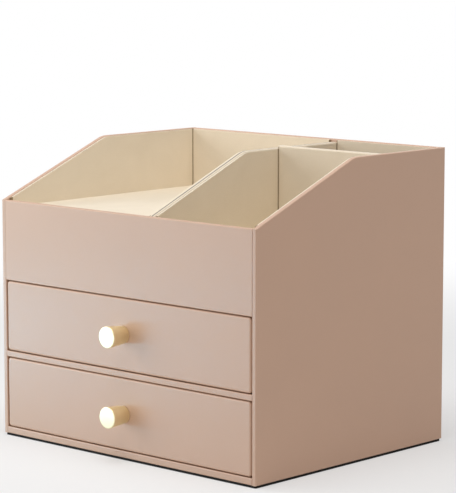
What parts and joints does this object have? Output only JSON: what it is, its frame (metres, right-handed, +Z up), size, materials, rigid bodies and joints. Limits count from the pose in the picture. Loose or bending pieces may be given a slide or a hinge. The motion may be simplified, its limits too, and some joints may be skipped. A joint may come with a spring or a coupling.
{
  "type": "vanity organizer with drawers",
  "caption": "Leatherette vanity organizer: sliding drawers with brass knobs under an open lined tray with sloping sides, a raised bay and upright wells.",
  "frame": {"origin": "on the table under the middle of the case, at the middle of the base sheet's underside", "axes": "+X to the right seen from the front, +Y to the back, +Z up"},
  "size_m": [0.26, 0.227, 0.2234],
  "materials": {
    "leatherette": "fine-grained satin",
    "lining": "short suede nap",
    "brass": "pale satin brass",
    "screw_steel": "zinc plated",
    "base_sheet": "matt",
    "bare_board": "raw fibreboard"
  },
  "bodies": {
    "case": {"base_sheet": "base_sheet", "base_panel": "leatherette", "left_side_panel": "leatherette", "right_side_panel": "leatherette", "back_panel": "leatherette", "front_apron": "leatherette", "drawer_shelf": "leatherette", "tray_floor": "bare_board", "bay_platform": "lining", "platform_bearers": "bare_board", "divider_left_leaf": "leatherette", "divider_right_leaf": "leatherette", "cross_divider": "leatherette", "bay_lining": "lining", "lipstick_well_lining": "lining", "brush_well_lining": "lining", "lipstick_well_card": "lining", "brush_well_card": "lining"},
    "upper_drawer": {"upper_drawer_front": "leatherette", "upper_drawer_left_wall": "lining", "upper_drawer_right_wall": "lining", "upper_drawer_back_wall": "lining", "upper_drawer_bottom": "lining", "upper_drawer_card": "lining", "upper_drawer_knob": "brass", "upper_drawer_knob_screw": "screw_steel", "upper_drawer_knob_washer": "screw_steel"},
    "lower_drawer": {"lower_drawer_front": "leatherette", "lower_drawer_left_wall": "lining", "lower_drawer_right_wall": "lining", "lower_drawer_back_wall": "lining", "lower_drawer_bottom": "lining", "lower_drawer_card": "lining", "lower_drawer_knob": "brass", "lower_drawer_knob_screw": "screw_steel", "lower_drawer_knob_washer": "screw_steel"}
  },
  "joints": [
    {"name": "upper_drawer_slide", "type": "slide", "parent": "case", "child": "upper_drawer", "axis": [0, -1, 0], "range_m": [0, 0.15]},
    {"name": "lower_drawer_slide", "type": "slide", "parent": "case", "child": "lower_drawer", "axis": [0, -1, 0], "range_m": [0, 0.15]}
  ]
}
